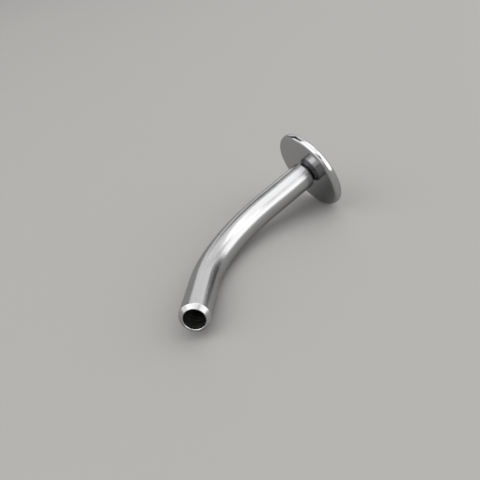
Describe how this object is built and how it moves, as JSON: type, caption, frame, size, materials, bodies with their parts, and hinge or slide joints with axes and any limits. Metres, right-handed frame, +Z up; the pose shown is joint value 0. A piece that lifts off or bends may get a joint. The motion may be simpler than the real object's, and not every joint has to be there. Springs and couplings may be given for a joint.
{
  "type": "belly button ring",
  "caption": "Curved round navel bar in polished steel with a flat disc on one end and an open hollow end for a screw-on top, lying on its side.",
  "frame": {"origin": "the middle of the bottom face of the ring's box, on the surface that it lies on", "axes": "+Z up at rest; +X level, from the disc towards the open end; +Y completes the frame, on the side that the bend opens towards"},
  "size_m": [0.0146, 0.0054, 0.0049],
  "materials": {
    "post_steel": "polished, with fine lengthwise polishing marks",
    "disc_steel": "turned and polished"
  },
  "bodies": {
    "root": {"curved_post": "post_steel", "disc_end": "disc_steel"}
  },
  "joints": []
}
